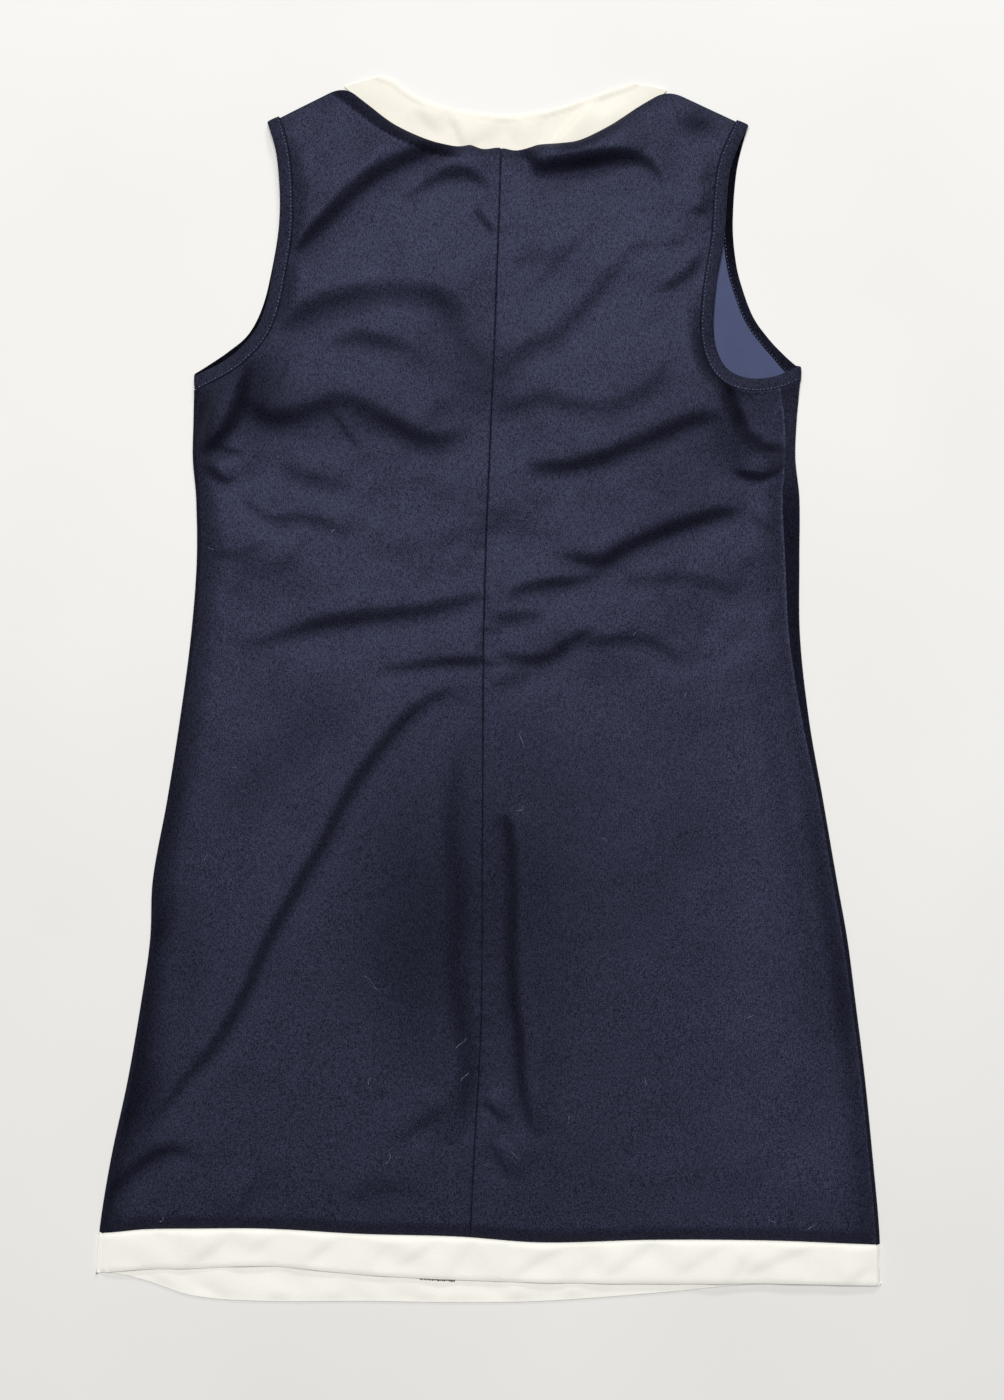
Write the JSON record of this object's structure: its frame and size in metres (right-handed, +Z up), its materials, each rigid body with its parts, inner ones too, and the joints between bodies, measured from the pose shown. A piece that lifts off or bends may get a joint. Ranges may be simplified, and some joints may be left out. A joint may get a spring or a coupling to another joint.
{
  "type": "shift dress laid flat, back side up",
  "caption": "Sleeveless navy shift dress laid flat with its back up, with a cream neck band, cream hem bands and bound armholes.",
  "frame": {"origin": "middle of the outline, on the surface that the dress lies on", "axes": "+Y from hem to neck, +X to the right hand side as seen from above, +Z up from the surface"},
  "size_m": [0.5965, 0.934, 0.0085],
  "materials": {
    "navy_knit": "smooth matt double knit",
    "cream_knit": "smooth matt double knit"
  },
  "bodies": {
    "root": {"front_panel": "navy_knit", "back_panel_left": "navy_knit", "back_panel_right": "navy_knit", "armhole_band_left": "navy_knit", "armhole_band_right": "navy_knit", "neck_band_front": "cream_knit", "hem_band_front": "cream_knit", "hem_band_back": "cream_knit"}
  },
  "joints": []
}
